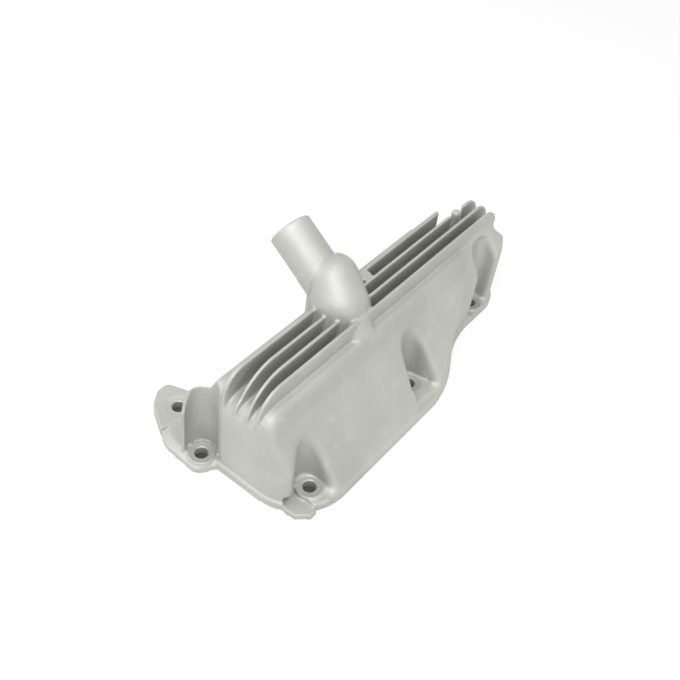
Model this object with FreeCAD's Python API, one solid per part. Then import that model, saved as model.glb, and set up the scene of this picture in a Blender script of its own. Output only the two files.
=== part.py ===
import FreeCAD, Part
import math
import os

os.makedirs("parts", exist_ok=True)

# Cast aluminium oil pan, lying on its sealing face. Millimetres, +Z up.
# X runs along the cooling fins, Y from the sloped front face to the back.
# Plan positions count from the axis of the corner bolt hole. The finished
# casting then moves so that the origin is midway between the corner bolt and
# the front bolt, in the sealing plane.

V = FreeCAD.Vector
UP = V(0, 0, 1)

# Corner points of the flange edge, each with the radius that rounds it.
# The pan is wide at the left and narrower at the right.
FLANGE_EDGE = [
    (-20.8, -14.8, 32.0),
    (105.3, -14.8, 62.0),
    (144.3, 6.8, 70.0),
    (201.5, 6.8, 20.0),
    (201.5, 51.0, 14.0),
    (150.0, 51.0, 40.0),
    (118.0, 77.0, 40.0),
    (-20.8, 77.0, 20.0),
]
FLANGE_THICK = 5.2
LEDGE = 1.5
LEDGE_DROP = 0.5

# The body above the flange. The front face leans back from the ledge.
FRONT_Y = FLANGE_EDGE[0][1] + LEDGE
BACK_Y = FLANGE_EDGE[7][1] - LEDGE
LEFT_X = FLANGE_EDGE[0][0] + LEDGE
RIGHT_X = FLANGE_EDGE[3][0] - LEDGE
TOP_Z = 56.6
FACE_TOP = (18.0, 53.8)
BACK_TOP_Y = 52.0
LEFT_DRAFT = 1.4
RIGHT_DRAFT = 3.4
LEFT_ROUND = 10.0
RIGHT_ROUND = 20.0
WALL = 3.5
ROOF_Z = 48.7

# Cooling fins from the front one back: front face, thickness, radius of the
# left end and of the right end.
FINS = [
    (21.3, 1.9, 16.0, 16.0),
    (28.3, 1.9, 25.0, 14.0),
    (35.5, 1.9, 27.0, 14.0),
    (42.6, 2.4, 14.0, 14.0),
]
FIN_TOP = 67.2
FIN_LEFT_X = LEFT_X + 1.1
FIN_RIGHT_X = 194.8
SLOT_FLOOR = 52.2
SLOT_START_Z = 41.0
ROOT = 12.0
BOSS_XY = (87.0, 41.0)
BOSS_R = 4.2

# Bolt holes, each with a shallow spot face on a pad.
HOLE_R = 3.5
SPOT_R = 6.7
SPOT_DEPTH = 0.5
SEAT_Z = 6.2
PAD_R = 7.6
RELIEF_R = 8.3
CORNER_BOLT = (0.0, 0.0)
FRONT_BOLT = (92.6, 4.0)
RIGHT_BOLT = (174.8, 15.0)
LEFT_BOLT = (-21.5, 54.1)
LUG_BOLT = (-7.8, 84.3)
RECESS_TOP = 55.0
RECESS_BACK = 21.9

# Raised seat round the front bolt, with a straight front edge.
FRONT_SEAT_Y = -9.2

# Column behind the left bolt.
COLUMN_WALL = 1.9
COLUMN_TOP = 48.5

# Pocket behind the right ends of the fins, with a slim post in it.
POCKET = (161.5, 177.5, 33.2)
POST_XY = (169.2, 36.0)
POST_R = 2.6
POST_FOOT_R = 3.8
POST_TOP = 68.4
POST_FOOT = 20.0
WEB_THICK = 4.0

# Riser, leaning dome and pipe.
RISER_XY = (62.8, 37.3)
DOME_LOW = V(62.3, 37.6, 66.0)
DOME_LOW_R = 14.9
DOME_HIGH = V(66.1, 46.2, 74.6)
DOME_HIGH_R = 13.5
SEAM_Y = 50.4
PIPE_START = V(62.0, 37.0, 66.2)
PIPE_AXIS = V(0.12, 0.88, 0.46)
PIPE_R = 11.8
PIPE_BORE_R = 9.2
PIPE_LENGTH = 47.0
HOSE_SEAT = 24.6
HOSE_STEP = 0.25

# Thin tab that stands out below the corner bolt.
TAB_THICK = 3.5


def plan(z):
    """Placing rule for an outline that lies level at height z."""
    return lambda a, b: V(a, b, z)


def across(x):
    """Placing rule for an outline in the plane square to X."""
    return lambda a, b: V(x, a, b)


def along(y):
    """Placing rule for an outline in the plane square to Y."""
    return lambda a, b: V(a, y, b)


def rounded(corners, place):
    """Closed wire through the corners, an arc of its own radius at each."""
    cuts = []
    for i, (a, b, radius) in enumerate(corners):
        before = corners[i - 1]
        after = corners[(i + 1) % len(corners)]
        here = V(a, b, 0)
        back = (V(before[0], before[1], 0) - here).normalize()
        ahead = (V(after[0], after[1], 0) - here).normalize()
        half = back.getAngle(ahead) / 2
        reach = radius / math.tan(half)
        middle = (back + ahead).normalize()
        depth = radius / math.sin(half) - radius
        cuts.append((here + back * reach, here + middle * depth, here + ahead * reach, radius))
    edges = []
    for i, (start, middle, end, radius) in enumerate(cuts):
        if radius > 0:
            ends = [place(p.x, p.y) for p in (start, middle, end)]
            edges.append(Part.Arc(*ends).toShape())
        following = cuts[(i + 1) % len(cuts)][0]
        if end.distanceToPoint(following) > 1e-6:
            edges.append(Part.makeLine(place(end.x, end.y), place(following.x, following.y)))
    return Part.Wire(edges)


def prism(wire, direction):
    """Solid swept from a closed wire along a straight direction."""
    return Part.Face(wire).extrude(direction)


def post(xy, radius, low, high):
    """Upright round bar at a point of the plan."""
    return Part.makeCylinder(radius, high - low, V(xy[0], xy[1], low))


def top_edges(solid, z):
    """Edges that lie wholly in the level plane z."""
    return [e for e in solid.Edges if all(abs(v.Z - z) < 0.01 for v in e.Vertexes)]


def body_form(inset):
    """Pan body: the common part of its plan, its cross section and its length section."""
    outline = rounded(FLANGE_EDGE, plan(0)).makeOffset2D(-LEDGE - inset)
    section = [
        (FRONT_Y, -5.0, 0),
        (FRONT_Y, FLANGE_THICK - LEDGE_DROP, 0),
        (FACE_TOP[0], FACE_TOP[1], 3.0),
        (FINS[0][0], TOP_Z, 0),
        (BACK_TOP_Y, TOP_Z, 3.0),
        (BACK_Y, FLANGE_THICK, 4.0),
        (BACK_Y, -5.0, 0),
    ]
    profile = [
        (LEFT_X, -5.0, 0),
        (LEFT_X, FLANGE_THICK, 0),
        (LEFT_X + LEFT_DRAFT, TOP_Z, LEFT_ROUND),
        (RIGHT_X - RIGHT_DRAFT, TOP_Z, RIGHT_ROUND),
        (RIGHT_X, FLANGE_THICK, 0),
        (RIGHT_X, -5.0, 0),
    ]
    lengthways = rounded(section, across(LEFT_X - 10))
    crossways = rounded(profile, along(FRONT_Y - 10))
    if inset > 0:
        lengthways = lengthways.makeOffset2D(-inset)
        crossways = crossways.makeOffset2D(-inset)
    form = prism(outline, V(0, 0, FIN_TOP))
    form = form.common(prism(lengthways, V(RIGHT_X - LEFT_X + 20, 0, 0)))
    return form.common(prism(crossways, V(0, BACK_Y - FRONT_Y + 20, 0)))


def flange():
    """Level flange with a narrow sloped ledge round its edge."""
    plate = prism(rounded(FLANGE_EDGE, plan(0)), V(0, 0, FLANGE_THICK))
    return plate.makeChamfer(LEDGE_DROP, LEDGE - 0.1, top_edges(plate, FLANGE_THICK))


def left_ear():
    """Low plate with a broad sloped rim, and the higher lug at its end."""
    low = [
        (-30.6, 50.0, 5.5),
        (-29.2, 74.0, 18.0),
        (-15.0, 92.0, 6.0),
        (8.0, 84.0, 6.0),
        (8.0, 46.0, 6.0),
        (-15.0, 40.0, 6.0),
    ]
    high = [
        (-25.4, 79.6, 1.0),
        (-16.6, 94.6, 14.0),
        (-8.0, 100.2, 5.0),
        (-0.6, 100.2, 3.5),
        (3.4, 89.0, 6.0),
        (3.4, 70.0, 0),
        (-13.0, 76.4, 3.0),
    ]
    plate = prism(rounded(low, plan(0)), V(0, 0, FLANGE_THICK))
    plate = plate.makeChamfer(1.8, 4.6, top_edges(plate, FLANGE_THICK))
    lug = prism(rounded(high, plan(0)), V(0, 0, SEAT_Z))
    crest = [e for e in top_edges(lug, SEAT_Z) if e.CenterOfMass.y > 82]
    return plate.fuse(lug.makeFillet(0.6, crest))


def fins():
    """Upright fins whose ends are rounded; the rear one stops at the pocket."""
    blades = []
    for front, thick, left_round, right_round in FINS:
        last = front == FINS[-1][0]
        outline = [
            (FIN_LEFT_X, SLOT_FLOOR - ROOT, 0),
            (FIN_LEFT_X, FIN_TOP, left_round),
            (POCKET[0] if last else FIN_RIGHT_X, FIN_TOP, 0.5 if last else right_round),
            (POCKET[0] if last else FIN_RIGHT_X, SLOT_FLOOR - ROOT, 0),
        ]
        blades.append(prism(rounded(outline, along(front)), V(0, thick, 0)))
    return blades


def slots():
    """Deep gaps between neighbouring fins, their floor following the left end."""
    cutters = []
    for near, far in zip(FINS, FINS[1:]):
        start = near[0] + near[1]
        outline = [
            (LEFT_X - 1.0, SLOT_START_Z, 0),
            (LEFT_X + 5.0, SLOT_FLOOR, 9.0),
            (RIGHT_X + 5, SLOT_FLOOR, 0),
            (RIGHT_X + 5, FIN_TOP, 0),
            (LEFT_X - 5, FIN_TOP, 0),
            (LEFT_X - 5, SLOT_START_Z, 0),
        ]
        cutters.append(prism(rounded(outline, along(start)), V(0, far[0] - start, 0)))
    return cutters


def channel(corners, low, high, wall):
    """Upright channel of a rounded plan; a wall thickness gives its lining."""
    wire = rounded(corners, plan(low))
    if wall > 0:
        wire = wire.makeOffset2D(wall)
    return prism(wire, V(0, 0, high - low))


def reliefs(wall=0.0):
    """Open channels that let a spanner reach the bolts, and the rear pocket."""
    base = FLANGE_THICK if wall == 0 else -1.0
    corner = [
        (6.6, 8.2, 7.0),
        (5.6, -30.0, 0),
        (-40.0, -30.0, 0),
        (-40.0, -18.2, 0),
        (-2.9, 8.2, 5.0),
    ]
    x, y = FRONT_BOLT
    front = [
        (x + 6.6, y + RELIEF_R, 8.0),
        (x + 8.0, y - 4.0, 30.0),
        (x + 14.0, y - 30.0, 0),
        (x - 15.6, y - 30.0, 0),
        (x - 9.4, y - 2.0, 30.0),
        (x - 8.8, y + RELIEF_R, 8.0),
    ]
    x, y = RIGHT_BOLT
    right = [
        (x + RELIEF_R, RECESS_BACK, 7.6),
        (x + RELIEF_R, y - 30.0, 0),
        (x - RELIEF_R - 3.0, y - 30.0, 0),
        (x - RELIEF_R - 3.0, RECESS_BACK, 7.6),
    ]
    rear = [
        (POCKET[0], POCKET[2], 7.9),
        (POCKET[0], 90.0, 0),
        (POCKET[1], 90.0, 0),
        (POCKET[1], POCKET[2], 7.9),
    ]
    recess = channel(right, base, RECESS_TOP + wall, wall)
    if wall == 0:
        recess = recess.makeFillet(5.0, top_edges(recess, RECESS_TOP))
    spans = [channel(c, base, 90.0, wall) for c in (corner, front, rear)]
    return spans + [recess, post(LEFT_BOLT, RELIEF_R + wall, base, 90.0)]


def rear_bevel(wall=0.0):
    """Space behind the narrow right end, whose back face leans forward."""
    slope = [
        (39.0, 90.0, 0),
        (39.0, TOP_Z - 1.0, 4.0),
        (52.0, 20.0, 0),
        (90.0, 20.0, 0),
        (90.0, 90.0, 0),
    ]
    wire = rounded(slope, across(POCKET[0] + 2.0 - wall))
    if wall > 0:
        wire = wire.makeOffset2D(wall)
    return prism(wire, V(60, 0, 0))


def left_column():
    """Round-topped column behind the left bolt, open to the outside."""
    column = post(LEFT_BOLT, RELIEF_R + COLUMN_WALL, 0, COLUMN_TOP)
    column = column.makeFillet(5.0, top_edges(column, COLUMN_TOP))
    slope = [
        (LEFT_BOLT[0] - 20, 24.0, 0),
        (LEFT_X - 8.0, 35.0, 0),
        (LEFT_X + 1.5, 51.0, 0),
        (LEFT_X + 1.5, 80.0, 0),
        (LEFT_BOLT[0] - 20, 80.0, 0),
    ]
    return column.cut(prism(rounded(slope, along(20)), V(0, 80, 0)))


def left_opening():
    """Space in front of the plane through the left bolt."""
    side = V(0.618, -0.787, 0)
    out = V(-0.787, -0.618, 0)
    centre = V(LEFT_BOLT[0], LEFT_BOLT[1], 0)
    corners = [
        centre - side * 14,
        centre + side * 9.5,
        centre + side * 9.5 + out * 20,
        centre - side * 14 + out * 20,
    ]
    return prism(Part.makePolygon(corners + corners[:1]), V(0, 0, 80))


def riser():
    """Upright riser with a spreading foot."""
    profile = [
        (0.0, 40.0, 0),
        (20.4, 40.0, 0),
        (20.4, 54.2, 1.5),
        (17.8, 56.0, 1.0),
        (DOME_LOW_R + 0.2, DOME_LOW.z + 1.0, 0),
        (0.0, DOME_LOW.z + 1.0, 0),
    ]
    section = Part.Face(rounded(profile, lambda r, z: V(r, 0, z)))
    solid = section.revolve(V(0, 0, 0), UP, 360)
    solid.translate(V(RISER_XY[0], RISER_XY[1], 0))
    return solid.cut(Part.makeBox(60, 40, 80, V(30, 45.5, 0)))


def dome():
    """Smooth skin round two spheres, cut off by the upright seam plane."""
    axis = DOME_HIGH - DOME_LOW
    span = axis.Length
    sine = (DOME_LOW_R - DOME_HIGH_R) / span
    cosine = math.sqrt(1 - sine * sine)
    low = V(DOME_LOW_R * cosine, 0, DOME_LOW_R * sine)
    high = V(DOME_HIGH_R * cosine, 0, span + DOME_HIGH_R * sine)
    bottom = V(0, 0, -DOME_LOW_R)
    top = V(0, 0, span + DOME_HIGH_R)
    low_mid = V(DOME_LOW_R * math.cos(-0.7), 0, DOME_LOW_R * math.sin(-0.7))
    high_mid = V(DOME_HIGH_R * math.cos(0.8), 0, span + DOME_HIGH_R * math.sin(0.8))
    edges = [
        Part.Arc(bottom, low_mid, low).toShape(),
        Part.makeLine(low, high),
        Part.Arc(high, high_mid, top).toShape(),
        Part.makeLine(top, bottom),
    ]
    solid = Part.Face(Part.Wire(edges)).revolve(V(0, 0, 0), UP, 360)
    solid.Placement = FreeCAD.Placement(DOME_LOW, FreeCAD.Rotation(UP, axis))
    return solid.cut(Part.makeBox(80, 60, 80, V(20, SEAM_Y, 30)))


def pipe():
    """Pipe stub that leaves the dome upwards to the back, on its pedestal.

    Its free end is turned a little smaller, as the seat of a hose.
    """
    tube = Part.makeCylinder(PIPE_R, PIPE_LENGTH, PIPE_START, PIPE_AXIS)
    rim = max(tube.Edges, key=lambda e: e.CenterOfMass.dot(PIPE_AXIS))
    tube = tube.makeFillet(0.6, [rim])
    cast_length = PIPE_LENGTH - HOSE_SEAT
    tube = tube.fuse(Part.makeCylinder(PIPE_R + HOSE_STEP, cast_length, PIPE_START, PIPE_AXIS))
    tube = tube.cut(Part.makeBox(80, 60, 80, V(20, SEAM_Y - 60, 30)))
    foot = [
        (52.3, 35.0, 4.0),
        (52.3, 54.0, 4.0),
        (74.0, 54.0, 4.0),
        (74.0, 35.0, 4.0),
    ]
    return [tube, prism(rounded(foot, plan(40.0)), V(0, 0, 32.0))]


def passage():
    """Way from the pan up the riser and out of the pipe."""
    x, y = RISER_XY
    bend = DOME_LOW.z + 1.0
    bore = Part.makeCylinder(PIPE_BORE_R, PIPE_LENGTH + 5, PIPE_START, PIPE_AXIS)
    return [post((x, y), 10.5, ROOF_Z - ROOT, bend), Part.makeSphere(10.5, V(x, y, bend)), bore]


def tab_outline():
    """Plan of the thin tab that stands out below the corner bolt."""
    return [
        (-13.5, 7.5, 1.0),
        (-17.9, 1.0, 1.0),
        (-17.3, -5.0, 1.5),
        (-11.6, -11.2, 1.5),
        (-7.6, -11.4, 0.5),
        (-6.6, -4.0, 0.5),
        (-4.0, 5.0, 0.5),
    ]


def pads():
    """Round pads that carry the bolt seats: one has a pointed corner, one a raised seat."""
    seats = [post(xy, PAD_R, 0, SEAT_Z) for xy in (CORNER_BOLT, FRONT_BOLT, RIGHT_BOLT)]
    x, y = LEFT_BOLT
    seats.append(Part.makeCone(PAD_R + 1.2, PAD_R - 0.4, SEAT_Z, V(x, y, 0)))
    x, y = FRONT_BOLT
    raised = [
        (x + 8.2, y + 1.0, 4.0),
        (x + 10.8, FRONT_SEAT_Y, 0.8),
        (x - 13.0, FRONT_SEAT_Y, 0),
        (x - 8.0, y + 4.0, 3.0),
    ]
    seats.append(prism(rounded(raised, plan(0)), V(0, 0, SEAT_Z)))
    point = [(0.0, 0.0, 0), (0.0, -PAD_R, 0), (6.8, -6.8, 0.4), (PAD_R, 0.0, 0)]
    return seats + [prism(rounded(point, plan(0)), V(0, 0, SEAT_Z))]


def bolt_cuts():
    """Through holes and their shallow spot faces."""
    cuts = []
    for xy in (CORNER_BOLT, FRONT_BOLT, RIGHT_BOLT, LEFT_BOLT, LUG_BOLT):
        cuts.append(post(xy, HOLE_R, -1, SEAT_Z + 1))
        cuts.append(post(xy, SPOT_R, SEAT_Z - SPOT_DEPTH, SEAT_Z + 3))
    return cuts


def cavity():
    """Hollow of the pan, with linings kept round the channels."""
    hollow = body_form(WALL)
    roof = prism(rounded(FLANGE_EDGE, plan(ROOF_Z)), V(0, 0, FIN_TOP))
    return hollow.cut([roof, rear_bevel(WALL)] + reliefs(WALL))


outer = body_form(0.0)
outer = outer.fuse([left_column()] + fins())
outer = outer.cut(slots() + [left_opening()])
rib_length = POST_TOP - POST_R - POST_FOOT
rib = Part.makeCone(POST_FOOT_R, POST_R, rib_length, V(POST_XY[0], POST_XY[1], POST_FOOT))
web_corner = V(POST_XY[0] - WEB_THICK / 2, POCKET[2] - WALL / 2, POST_FOOT)
web = Part.makeBox(WEB_THICK, POST_XY[1] - web_corner.y, SLOT_FLOOR - POST_FOOT, web_corner)
rib_top = Part.makeSphere(POST_R, V(POST_XY[0], POST_XY[1], POST_TOP - POST_R))
solid = outer.fuse([flange(), left_ear(), riser(), dome()] + pipe())
solid = solid.fuse([post(BOSS_XY, BOSS_R, SLOT_FLOOR - ROOT, FIN_TOP)])
solid = solid.cut(reliefs() + [rear_bevel()])
solid = solid.fuse([rib, rib_top, web])
solid = solid.cut(channel(tab_outline(), TAB_THICK, SEAT_Z + 1, 0.0))
solid = solid.fuse(pads() + [channel(tab_outline(), 0.0, TAB_THICK, 0.0)])
solid = solid.cut([cavity()] + passage() + bolt_cuts())
solid = solid.removeSplitter()
solid.translate(V(-FRONT_BOLT[0] / 2, -FRONT_BOLT[1] / 2, 0))
solid.exportStep("parts/pan_casting.step")
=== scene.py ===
# %% [markdown]
# # A cast aluminium oil pan, dressed for a studio picture
#
# The object is one aluminium casting: a low pan that closes the underside of
# a small engine, lying on its flange. It carries four cooling fins, a riser
# with a pipe for a hose, and five bolt holes. The exact solid comes from the
# CAD model. Here it gets two small forms that the solid lacks, and what
# casting and blasting give the real one: soft edges, a slightly wavy skin,
# a fine grain, small marks, and light.

import bmesh
import bpy
import numpy as np
from mathutils import Matrix, Vector


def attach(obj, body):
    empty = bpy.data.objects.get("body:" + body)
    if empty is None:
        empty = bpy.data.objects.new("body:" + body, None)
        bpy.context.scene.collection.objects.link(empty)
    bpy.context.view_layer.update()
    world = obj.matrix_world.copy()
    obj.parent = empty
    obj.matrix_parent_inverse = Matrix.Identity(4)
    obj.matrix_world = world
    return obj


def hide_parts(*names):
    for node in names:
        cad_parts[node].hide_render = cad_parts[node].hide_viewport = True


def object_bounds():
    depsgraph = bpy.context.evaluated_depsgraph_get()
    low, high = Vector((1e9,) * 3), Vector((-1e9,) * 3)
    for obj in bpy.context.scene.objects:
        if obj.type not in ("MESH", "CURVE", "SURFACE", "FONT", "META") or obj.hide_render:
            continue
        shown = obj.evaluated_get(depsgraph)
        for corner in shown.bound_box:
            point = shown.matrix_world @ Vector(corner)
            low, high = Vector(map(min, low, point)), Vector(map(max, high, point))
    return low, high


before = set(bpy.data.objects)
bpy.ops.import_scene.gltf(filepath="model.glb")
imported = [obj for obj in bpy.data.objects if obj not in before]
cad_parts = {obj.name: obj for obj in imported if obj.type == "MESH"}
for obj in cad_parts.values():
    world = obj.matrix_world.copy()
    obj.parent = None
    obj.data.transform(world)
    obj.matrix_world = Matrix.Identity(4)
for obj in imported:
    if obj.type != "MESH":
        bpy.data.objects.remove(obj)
CAD_LOW, CAD_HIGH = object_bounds()
casting_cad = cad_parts["pan_casting"]
MM = 0.001
print("casting, mm:", [round(v / MM, 1) for v in CAD_HIGH - CAD_LOW])

# %% [markdown]
# The camera comes first, because everything after it is judged through it.
# The straight fins and flange edges of the photograph meet in vanishing
# points, which give the camera's three directions, and the bolt holes give
# its place. A lens of 49 mm on a 36 mm sensor has the same perspective.

# %% Camera
PICTURE_PIXELS = 680
FOCAL_PIXELS = 933.07
SENSOR_WIDTH = 36.0
VIEW_RIGHT = Vector((0.6163, -0.7802, 0.1065))
VIEW_UP = Vector((0.5140, 0.5011, 0.6962))
VIEW_AHEAD = Vector((0.5966, 0.3743, -0.7099))
CAMERA_SPOT = Vector((-0.2792, -0.1529, 0.3919))

camera_data = bpy.data.cameras.new("studio_camera")
camera = bpy.data.objects.new("studio_camera", camera_data)
bpy.context.scene.collection.objects.link(camera)
bpy.context.scene.camera = camera
camera_data.sensor_width = SENSOR_WIDTH
camera_data.lens = FOCAL_PIXELS * SENSOR_WIDTH / PICTURE_PIXELS
turn = Matrix((VIEW_RIGHT, VIEW_UP, -VIEW_AHEAD)).transposed()
camera.matrix_world = Matrix.Translation(CAMERA_SPOT) @ turn.to_4x4()
print("lens, mm:", round(camera_data.lens, 2))

# %% [markdown]
# Materials are sums and products of patterns, and those read best as plain
# arithmetic. `Value` wraps one socket, so that `0.5 + 0.1 * grain` adds the
# Math nodes itself. Every other node comes from `Maker.node`, which sets the
# node's own settings first and then fills or links its sockets.


# %% Shader arithmetic
class Value:
    """One output socket that can be used in arithmetic."""

    def __init__(self, maker, socket):
        self.maker = maker
        self.socket = socket

    def _math(self, operation, first, second):
        return self.maker.node("ShaderNodeMath", {"operation": operation}, {0: first, 1: second})

    def __add__(self, other):
        return self._math("ADD", self, other)

    __radd__ = __add__

    def __sub__(self, other):
        return self._math("SUBTRACT", self, other)

    def __rsub__(self, other):
        return self._math("SUBTRACT", other, self)

    def __mul__(self, other):
        return self._math("MULTIPLY", self, other)

    __rmul__ = __mul__


class Maker:
    """Adds nodes to one node tree."""

    def __init__(self, tree):
        self.tree = tree
        tree.nodes.clear()

    def node(self, kind, settings=None, sockets=None, output=0):
        made = self.tree.nodes.new(kind)
        for key, value in (settings or {}).items():
            setattr(made, key, value)
        for key, value in (sockets or {}).items():
            socket = self.socket_of(made.inputs, key)
            if isinstance(value, Value):
                self.tree.links.new(value.socket, socket)
            else:
                socket.default_value = value
        return Value(self, self.socket_of(made.outputs, output))

    @staticmethod
    def socket_of(sockets, key):
        """A socket by its number, its identifier or its name."""
        if isinstance(key, int):
            return sockets[key]
        same = [s for s in sockets if s.identifier == key]
        return (same or [s for s in sockets if s.name == key])[0]


def mixed(make, factor, first, second):
    """A colour between first, at factor 0, and second, at factor 1."""
    return make.node(
        "ShaderNodeMix",
        {"data_type": "RGBA"},
        {"Factor_Float": factor, "A_Color": first, "B_Color": second},
        "Result_Color",
    )


def step_between(low, high, value, start=0.0, end=1.0):
    """start below low, end above high, and a smooth change between."""
    return value.maker.node(
        "ShaderNodeMapRange",
        {"interpolation_type": "SMOOTHSTEP"},
        {"Value": value, "From Min": low, "From Max": high, "To Min": start, "To Max": end},
    )


# %% [markdown]
# The model's solid lacks two small forms that the photograph shows on the
# front of the first fin. One is a half cone that stiffens the foot of the
# riser. The other is a shoulder, which makes the slope above the front face
# a level ledge with a broad edge. Both are rows of rings with the same number
# of points, joined ring to ring, which makes any tapered bar in a few lines.

# %% Foot of the riser and front shoulder
# These sizes and places are in millimetres, counted from the corner bolt.
CORNER_BOLT = Vector((-46.3, -2.0)) * MM
FIN_FRONT_Y = 21.3
LEDGE_Z = 56.4
FOOT_CENTRE = (61.0, 27.8)
FOOT_RADIUS = 11.6
FOOT_TAPER = 0.423
FOOT_HEIGHTS = (52.5, 67.0)
FOOT_OPENS_AT_Y = 28.3
FOOT_BACK = [(57.5, 26.4), (66.5, 26.4)]
ARC_POINTS = 40
FACE_LEAN = 0.6375
SHOULDER_SWELL = 0.33
SHOULDER_FOOT = (12.4, 45.0)
SHOULDER_DEPTH = 2.0
SHOULDER_FLOOR_Z = 50.0
INTO_FIN = 0.3
LEDGE_RISE = 0.2
# Each section of the shoulder: x, how far its top drops, how much it bulges.
SHOULDER = [
    (-16.5, 4.9, 0.4),
    (-15, 3.0, 0.8),
    (-12, 0.9, 1),
    (-9, 0.1, 1),
    (-4, 0, 1),
    (148, 0, 1),
    (162, 1.5, 0.1),
]
MERGE = 0.002 * MM


def placed(x, y, z):
    """A place counted in millimetres from the axis of the corner bolt."""
    return Vector((x * MM + CORNER_BOLT.x, y * MM + CORNER_BOLT.y, z * MM))


def add_bar(work, rings):
    """Closed bar through rings of equally many points."""
    loops = [[work.verts.new(placed(*spot)) for spot in ring] for ring in rings]
    count = len(loops[0])
    for near, far in zip(loops, loops[1:]):
        for i in range(count):
            j = (i + 1) % count
            work.faces.new((near[i], near[j], far[j], far[i]))
    work.faces.new(loops[0][::-1])
    work.faces.new(loops[-1])


def foot_ring(z):
    """Front part of a circle that shrinks with height, closed behind."""
    x, y = FOOT_CENTRE
    radius = FOOT_RADIUS - FOOT_TAPER * (z - LEDGE_Z)
    side = np.arcsin((FOOT_OPENS_AT_Y - y) / radius)
    turns = np.linspace(side, -np.pi - side, ARC_POINTS)
    arc = [(x + radius * np.cos(turn), y + radius * np.sin(turn), z) for turn in turns]
    return arc + [(*corner, z) for corner in FOOT_BACK]


def shoulder_ring(x, drop, bulge):
    """Section of the shoulder, which follows the front face where bulge is 0."""
    foot_y, foot_z = SHOULDER_FOOT
    top = LEDGE_Z - drop
    front = foot_y + (top - foot_z) * (FACE_LEAN - SHOULDER_SWELL * bulge)
    return [
        (x, foot_y, foot_z),
        (x, front, top),
        (x, FIN_FRONT_Y + INTO_FIN, top + LEDGE_RISE),
        (x, FIN_FRONT_Y + INTO_FIN, SHOULDER_FLOOR_Z - drop),
        (x, foot_y + SHOULDER_DEPTH, foot_z),
    ]


mesh = casting_cad.data.copy()
work = bmesh.new()
work.from_mesh(mesh)
bmesh.ops.remove_doubles(work, verts=work.verts, dist=MERGE)
print("open edges after merging:", sum(1 for e in work.edges if not e.is_manifold))
solid_faces = len(work.faces)
add_bar(work, [foot_ring(z) for z in FOOT_HEIGHTS])
add_bar(work, [shoulder_ring(*row) for row in SHOULDER])
added = list(work.faces)[solid_faces:]
bmesh.ops.recalc_face_normals(work, faces=added)
work.to_mesh(mesh)
work.free()
print("faces added:", len(added))

# %% [markdown]
# No casting has knife edges: metal can't fill them, and the blasting
# afterwards rounds them more. A Bevel modifier fails here, because short
# edges crowd round every fillet. So the whole surface is rebuilt from equal
# cells, which joins the added forms to it and spreads points evenly, and the
# points are then averaged with their neighbours. Flat places stay flat under
# averaging, and edges turn into soft radii.

# %% Even mesh of the casting
CELL = 0.5 * MM

casting = bpy.data.objects.new("casting_skin", mesh)
bpy.context.scene.collection.objects.link(casting)
cells = casting.modifiers.new("even cells", "REMESH")
cells.mode = "VOXEL"
cells.voxel_size = CELL
cells.use_smooth_shade = True


def triangles(data):
    """How many triangles a mesh has when its faces are split."""
    return sum(len(face.vertices) - 2 for face in data.polygons)


def bake_modifiers(piece, name):
    """Makes the modifiers' result the piece's own mesh."""
    graph = bpy.context.evaluated_depsgraph_get()
    result = bpy.data.meshes.new_from_object(piece.evaluated_get(graph))
    piece.modifiers.clear()
    piece.data = result
    result.name = name
    print(name, "triangles:", triangles(result))


bake_modifiers(casting, "casting_even")

# %% [markdown]
# Some faces were cut after casting: the sealing face below, which stays
# exactly flat, and the round seats under the bolt heads, which are smoother.
# Each point of the mesh gets two numbers for that: one is 1 on the sealing
# face, the other is 1 on a seat, and both are 0 elsewhere.

# %% Machined faces
SEAT_R = 6.7 * MM
SEAT_HEIGHT = 5.7 * MM
SEAT_MARGIN = 0.3 * MM
BOLTS = [
    CORNER_BOLT,
    CORNER_BOLT + Vector((92.6, 4.0)) * MM,
    CORNER_BOLT + Vector((174.8, 15.0)) * MM,
    CORNER_BOLT + Vector((-21.5, 54.1)) * MM,
    CORNER_BOLT + Vector((-7.8, 84.3)) * MM,
]


def points_of(piece):
    """The piece's points as rows of x, y and z."""
    flat = np.empty(len(piece.data.vertices) * 3, np.float32)
    piece.data.vertices.foreach_get("co", flat)
    return flat.reshape(-1, 3)


def store(piece, name, values):
    """Keeps one number for each point of the piece."""
    attribute = piece.data.attributes.new(name, "FLOAT", "POINT")
    attribute.data.foreach_set("value", values.astype(np.float32))
    print(name, "mean:", round(float(values.mean()), 4))


points = points_of(casting)
reach = [np.hypot(points[:, 0] - bolt.x, points[:, 1] - bolt.y) for bolt in BOLTS]
bolt_distance = np.min(reach, axis=0)
at_height = np.abs(points[:, 2] - SEAT_HEIGHT) < SEAT_MARGIN
on_seat = (bolt_distance < SEAT_R) & at_height
store(casting, "sealing", points[:, 2] < 0.5 * CELL)
store(casting, "seat", on_seat)

# %% [markdown]
# The real casting is not equally soft everywhere. In the photograph, the
# edges round the spanner channels and along the left side of the front face
# roll over by several millimetres. Each such edge is given as a line with a
# reach, and the points near it get a number up to 1, which lets the averaging
# go on longer there.

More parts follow.
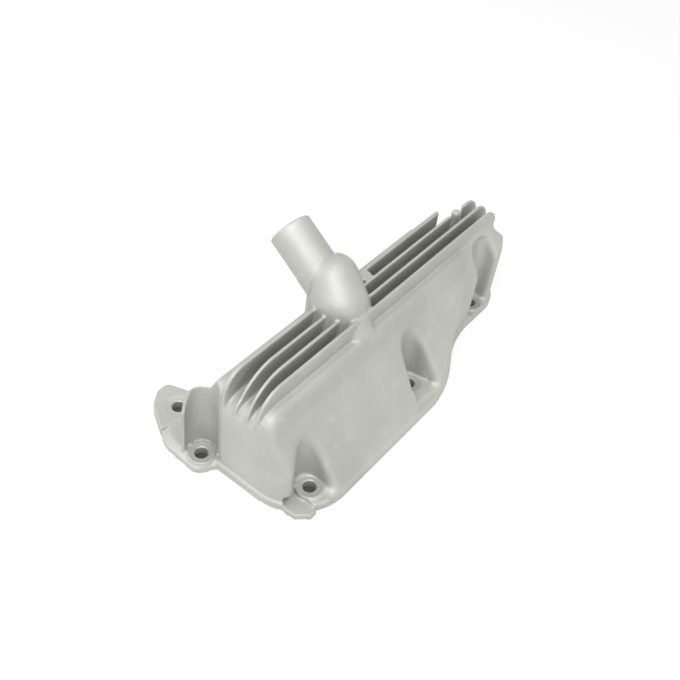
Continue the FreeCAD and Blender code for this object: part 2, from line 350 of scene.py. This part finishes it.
# %% Broad edges
LEFT_BORDER = [
    (-19.3, 16, 50.7),
    (-18.7, 11, 42.8),
    (-17.5, 7, 36.5),
    (-15.6, 2.7, 29.8),
    (-11.6, -3, 20.9),
]
FACE_TOP = [(-14, 15.2, 53), (-8, 16, 56.2), (150, 16, 56.2), (163, 17.5, 54)]
CORNER_LEFT = [(-2.5, 8.3, 38.5), (-8.5, 4.2, 32.1), (-14.2, 0.2, 25.9), (-14.2, 0.2, 8)]
CORNER_TOP = [(-2.5, 8.3, 38.5), (1.8, 9.6, 40.6), (5.5, 7.2, 36.9)]
CORNER_RIGHT = [(5.5, 7.2, 36.9), (6.3, 2, 28.7), (6.1, -5, 17.7), (5.9, -12, 6.7)]
FRONT_LEFT = [(85.5, 11.5, 43.6), (83.6, 8, 38.1), (83.2, 2, 28.7), (81.7, -5, 17.7)]
FRONT_TOP = [(85.5, 11.5, 43.6), (91.5, 12.3, 44.9), (97.5, 10, 41.2)]
FRONT_RIGHT = [(97.5, 10, 41.2), (100.1, 5, 33.4), (100.8, -0.5, 24.8), (103.4, -12.5, 6)]
RECESS_LEFT = [(164.5, 17.5, 53), (163.5, 8.3, 38.6), (163.5, 8.3, 8)]
RECESS_ARCH = [(164.5, 17.5, 53), (168, 18.4, 54.4), (179, 18.4, 54.4), (183.1, 16.5, 51.5)]
RECESS_RIM = [(183.1, 16.5, 51.5), (183.1, 8.4, 38.6), (183.1, 8.4, 8)]
END_TOP = [(178, 20, 57), (188, 21, 54), (194, 22, 46), (197, 24, 30)]
# Each edge: its name, its reach in millimetres, how much it rolls, its line.
BROAD_EDGES = [
    ("left border of the front face", 6.5, 1.0, LEFT_BORDER),
    ("top of the front face", 3.2, 0.8, FACE_TOP),
    ("corner channel, left lip", 5.0, 0.9, CORNER_LEFT),
    ("corner channel, top", 3.5, 0.6, CORNER_TOP),
    ("corner channel, right lip", 5.5, 0.9, CORNER_RIGHT),
    ("front channel, left lip", 3.5, 0.5, FRONT_LEFT),
    ("front channel, top", 3.5, 0.5, FRONT_TOP),
    ("front channel, right lip", 7.0, 1.0, FRONT_RIGHT),
    ("right recess, left lip", 3.5, 0.6, RECESS_LEFT),
    ("right recess, arch", 4.5, 0.9, RECESS_ARCH),
    ("right recess, rim", 6.0, 1.0, RECESS_RIM),
    ("right end, top", 6.0, 1.0, END_TOP),
]
FULL_CORE = 1.5  # the number is full over the inner third of the reach


def distance_to(points, line):
    """Distance of each point from a line of straight runs."""
    nearest = np.full(len(points), np.inf)
    spots = [np.array(placed(*spot)) for spot in line]
    for start, end in zip(spots, spots[1:]):
        run = end - start
        along = np.clip((points - start) @ run / (run @ run), 0, 1)
        away = np.linalg.norm(points - start - along[:, None] * run, axis=1)
        nearest = np.minimum(nearest, away)
    return nearest


broad = np.zeros(len(points))
for name, width, share, line in BROAD_EDGES:
    near = np.clip(FULL_CORE * (1 - distance_to(points, line) / (width * MM)), 0, 1)
    broad = np.maximum(broad, share * near)
    print(name, "points:", int((near > 0).sum()))
store(casting, "broad", broad)

# %% [markdown]
# The rounding itself is a rule that runs along the whole surface, so it is
# a Geometry Nodes tree with named sizes. It averages the positions, more
# often near the broad edges, then moves the skin in and out by a few
# hundredths of a millimetre, because a die wears and the metal shrinks
# unevenly. That faint wave makes the light slide unevenly over the faces.


# %% Soft edges, as a node tree
def soften_tree():
    """Tree that rounds edges and adds the faint wave of a cast skin."""
    tree = bpy.data.node_groups.new("soft cast edges", "GeometryNodeTree")
    make = Maker(tree)
    sizes = {
        "Geometry": "NodeSocketGeometry",
        "Passes": "NodeSocketInt",
        "Broad Passes": "NodeSocketInt",
        "Wave Height": "NodeSocketFloat",
        "Wave Scale": "NodeSocketFloat",
        "Material": "NodeSocketMaterial",
    }
    for name, kind in sizes.items():
        tree.interface.new_socket(name, in_out="INPUT", socket_type=kind)
    tree.interface.new_socket("Geometry", in_out="OUTPUT", socket_type="NodeSocketGeometry")
    given = tree.nodes.new("NodeGroupInput")
    inlet = {s.name: Value(make, s) for s in given.outputs if s.name}

    place = make.node("GeometryNodeInputPosition")
    sealing, broad = [
        make.node("GeometryNodeInputNamedAttribute", {"data_type": "FLOAT"}, {"Name": name})
        for name in ("sealing", "broad")
    ]
    shape = inlet["Geometry"]
    for passes, weight in ((inlet["Broad Passes"], broad), (inlet["Passes"], 1 - sealing)):
        soft = make.node(
            "GeometryNodeBlurAttribute",
            {"data_type": "FLOAT_VECTOR"},
            {"Value": place, "Iterations": passes, "Weight": weight * (1 - sealing)},
        )
        shape = make.node("GeometryNodeSetPosition", {}, {"Geometry": shape, "Position": soft})
    normal = make.node("GeometryNodeInputNormal")
    spot = make.node(
        "ShaderNodeVectorMath", {"operation": "SCALE"}, {0: place, "Scale": inlet["Wave Scale"]}
    )
    wave = make.node("ShaderNodeTexNoise", {}, {"Vector": spot, "Scale": 1.0, "Detail": 2.0})
    height = (wave - 0.5) * inlet["Wave Height"] * (1 - sealing)
    shift = make.node("ShaderNodeVectorMath", {"operation": "SCALE"}, {0: normal, "Scale": height})
    shape = make.node("GeometryNodeSetPosition", {}, {"Geometry": shape, "Offset": shift})
    shape = make.node("GeometryNodeRealizeInstances", {}, {"Geometry": shape})
    shape = make.node(
        "GeometryNodeSetMaterial", {}, {"Geometry": shape, "Material": inlet["Material"]}
    )
    outlet = tree.nodes.new("NodeGroupOutput")
    tree.links.new(shape.socket, outlet.inputs["Geometry"])
    return tree


def give_sizes(modifier, sizes):
    """Sets a node tree's named inputs on the modifier that runs it."""
    for item in modifier.node_group.interface.items_tree:
        if item.in_out == "INPUT" and item.name in sizes:
            modifier[item.identifier] = sizes[item.name]


EDGE_TREE = soften_tree()
print("inputs:", [i.name for i in EDGE_TREE.interface.items_tree if i.in_out == "INPUT"])

# %% [markdown]
# The finish of the real pan is cast aluminium that was blasted with fine
# beads: bright, grey and dull at once. A bare metal shader would mirror the
# studio, so its roughness is high, and it is mixed half and half with a dull
# grey, because a blasted skin scatters much of the light. Four patterns vary
# it: a broad, weak one for the cloudy tone of cast metal, a middle one for rub
# marks and finger grease, small dark pits, and the finest for the blasted
# grain, as bump. The cut seats are a little smoother than the rest.


# %% Cast aluminium
GREY_DARK = (0.405, 0.410, 0.375, 1)
GREY_LIGHT = (0.455, 0.460, 0.420, 1)
RUBBED_BRIGHT = (0.56, 0.565, 0.53, 1)
PIT_DARK = (0.25, 0.25, 0.23, 1)
GRAIN_DEPTH = 0.06 * MM


def aluminium():
    """Blasted cast aluminium, smoother on the cut seats."""
    material = bpy.data.materials.new("cast_aluminium")
    material.use_nodes = True
    make = Maker(material.node_tree)
    place = make.node("ShaderNodeTexCoord", {}, {}, "Object")
    cloud = make.node("ShaderNodeTexNoise", {}, {"Vector": place, "Scale": 26.0, "Detail": 4.0})
    rubbed = make.node(
        "ShaderNodeTexNoise",
        {},
        {"Vector": place, "Scale": 110.0, "Detail": 5.0, "Roughness": 0.62},
    )
    grain = make.node("ShaderNodeTexNoise", {}, {"Vector": place, "Scale": 1500.0, "Detail": 3.0})
    pits = make.node("ShaderNodeTexVoronoi", {}, {"Vector": place, "Scale": 620.0})
    pit = step_between(0.10, 0.24, pits, 1.0, 0.0)
    tone = step_between(0.35, 0.65, cloud)
    marks = step_between(0.56, 0.74, rubbed)
    colour = mixed(make, tone, GREY_DARK, GREY_LIGHT)
    colour = mixed(make, marks * 0.25, colour, RUBBED_BRIGHT)
    colour = mixed(make, pit * 0.3, colour, PIT_DARK)
    seat = make.node("ShaderNodeAttribute", {"attribute_name": "seat"}, {}, "Fac")
    rough = 0.50 + 0.10 * rubbed - 0.06 * marks + 0.06 * pit - 0.12 * seat
    bump = make.node(
        "ShaderNodeBump",
        {},
        {"Strength": 0.35, "Distance": GRAIN_DEPTH, "Height": grain - pit * 0.6},
    )
    shader = make.node(
        "ShaderNodeBsdfPrincipled",
        {},
        {"Base Color": colour, "Roughness": rough, "Metallic": 0.5, "Normal": bump},
    )
    out = material.node_tree.nodes.new("ShaderNodeOutputMaterial")
    material.node_tree.links.new(shader.socket, out.inputs["Surface"])
    return material


ALUMINIUM = aluminium()
print("nodes in the finish:", len(ALUMINIUM.node_tree.nodes))

# %% [markdown]
# Now the tree runs on the even mesh. Its result is thinned where the surface
# is flat, so that the finished piece stays light. The wave carries a few of
# its points just outside the box of the model, and they are put back. Then
# it stands for the CAD node, which is hidden but keeps its place.

# %% The finished casting
EDGE_PASSES = 3
BROAD_PASSES = 90
WAVE_HEIGHT = 0.10 * MM
WAVE_SCALE = 95.0
TRIANGLE_LIMIT = 185000

soft = casting.modifiers.new("soft edges", "NODES")
soft.node_group = EDGE_TREE
give_sizes(
    soft,
    {
        "Passes": EDGE_PASSES,
        "Broad Passes": BROAD_PASSES,
        "Wave Height": WAVE_HEIGHT,
        "Wave Scale": WAVE_SCALE,
        "Material": ALUMINIUM,
    },
)
bake_modifiers(casting, "casting_soft")
thin = casting.modifiers.new("fewer triangles", "DECIMATE")
thin.ratio = min(1.0, TRIANGLE_LIMIT / triangles(casting.data))
bake_modifiers(casting, "casting_skin")
held = np.clip(points_of(casting), np.array(CAD_LOW), np.array(CAD_HIGH))
casting.data.vertices.foreach_set("co", held.astype(np.float32).ravel())
casting.data.update()
casting.data.shade_smooth()
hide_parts("pan_casting")
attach(casting, "root")

# %% [markdown]
# The picture was taken on white paper under broad, soft light, with hardly
# any shadow. Paper is a plain matt floor, lightened for the camera and for
# what the metal mirrors, so that it stays white and still takes a soft
# shadow. In the photograph the bolt holes look dark. Here the lamps shine
# through them, so the paper under each gets a disc of painted shade.

# %% Floor
PAPER_GLOW = 0.7
PAPER_WHITE = (0.9, 0.9, 0.9, 1)
# painted shade: the dark colour of the paper under each bolt hole
PAINTED_SHADE_UNDER_HOLES = (0.1, 0.1, 0.095, 1)
PAINTED_SHADE_TO = 4.5 * MM
WHITE_FROM = 6.5 * MM
FLOOR_HALF = 6.0
WHITE = (1, 1, 1, 1)


def seen_directly(make):
    """1 for rays from the camera, from a mirror or through glass, else 0."""
    rays = make.tree.nodes.new("ShaderNodeLightPath")
    kinds = ["Is Camera Ray", "Is Glossy Ray", "Is Transmission Ray"]
    camera_ray, glossy_ray, through_ray = [Value(make, rays.outputs[k]) for k in kinds]
    total = camera_ray + glossy_ray + through_ray
    return make.node("ShaderNodeClamp", {}, {"Value": total})


def paper():
    """White paper that takes a soft shadow, with painted shade under the holes."""
    material = bpy.data.materials.new("white_paper")
    material.use_nodes = True
    make = Maker(material.node_tree)
    glow = make.node("ShaderNodeEmission", {}, {"Color": WHITE, "Strength": 1.0})
    place = make.node("ShaderNodeTexCoord", {}, {}, "Object")
    # clear is 0 under the bolt holes, where the paper gets painted shade and no glow, and 1
    # elsewhere
    clear = 1
    for bolt in BOLTS:
        centre = (bolt.x, bolt.y, 0)
        away = make.node(
            "ShaderNodeVectorMath", {"operation": "DISTANCE"}, {0: place, 1: centre}, "Value"
        )
        clear = clear * step_between(PAINTED_SHADE_TO, WHITE_FROM, away)
    colour = mixed(make, clear, PAINTED_SHADE_UNDER_HOLES, PAPER_WHITE)
    matt = make.node("ShaderNodeBsdfDiffuse", {}, {"Color": colour})
    glowing = seen_directly(make) * PAPER_GLOW * clear
    both = make.node("ShaderNodeMixShader", {}, {0: glowing, 1: matt, 2: glow})
    out = material.node_tree.nodes.new("ShaderNodeOutputMaterial")
    material.node_tree.links.new(both.socket, out.inputs["Surface"])
    return material


floor_mesh = bpy.data.meshes.new("paper_floor")
corners = [(-1, -1), (1, -1), (1, 1), (-1, 1)]
spots = [(x * FLOOR_HALF, y * FLOOR_HALF, 0) for x, y in corners]
floor_mesh.from_pydata(spots, [], [(0, 1, 2, 3)])
floor_mesh.materials.append(paper())
floor = bpy.data.objects.new("paper_floor", floor_mesh)
bpy.context.scene.collection.objects.link(floor)
print("floor, m:", 2 * FLOOR_HALF)

# %% [markdown]
# The sky is an even white, as in a light tent, and a brighter white where it
# is seen directly. Four wide lamps shape the metal: one above brightens the
# ledges, two from the left light the walls, and one from the back left
# reaches into the slots between the fins. Their levels were fitted to the
# photograph's tones.

# %% Light
SKY_STRENGTH = 0.76
LAMP_DISTANCE = 0.9
# Each lamp: its name, where it stands, its width in metres, its watts.
LAMPS = [
    ("overhead", (0.0, -0.2, 0.98), 0.4, 1.4),
    ("upper_left", (-0.6, -0.25, 0.75), 0.55, 3.9),
    ("front_left", (-0.35, -0.85, 0.4), 0.55, 1.0),
    ("back_left", (-0.5, 0.7, 0.5), 0.55, 2.2),
]

world = bpy.data.worlds.new("white_room")
bpy.context.scene.world = world
world.use_nodes = True
make = Maker(world.node_tree)
sky = make.node("ShaderNodeBackground", {}, {"Color": WHITE, "Strength": SKY_STRENGTH})
back = make.node("ShaderNodeBackground", {}, {"Color": WHITE, "Strength": 1.0})
room = make.node("ShaderNodeMixShader", {}, {0: seen_directly(make), 1: sky, 2: back})
out = world.node_tree.nodes.new("ShaderNodeOutputWorld")
world.node_tree.links.new(room.socket, out.inputs["Surface"])

middle = (CAD_LOW + CAD_HIGH) / 2
for name, towards, size, watts in LAMPS:
    lamp_data = bpy.data.lights.new(name, "AREA")
    lamp_data.shape = "DISK"
    lamp_data.size = size
    lamp_data.energy = watts
    lamp = bpy.data.objects.new(name, lamp_data)
    bpy.context.scene.collection.objects.link(lamp)
    lamp.location = middle + Vector(towards).normalized() * LAMP_DISTANCE
    lamp.rotation_euler = (middle - lamp.location).to_track_quat("-Z", "Y").to_euler()
    print(name, "lamp, W:", watts)
bpy.context.scene.view_settings.view_transform = "Standard"
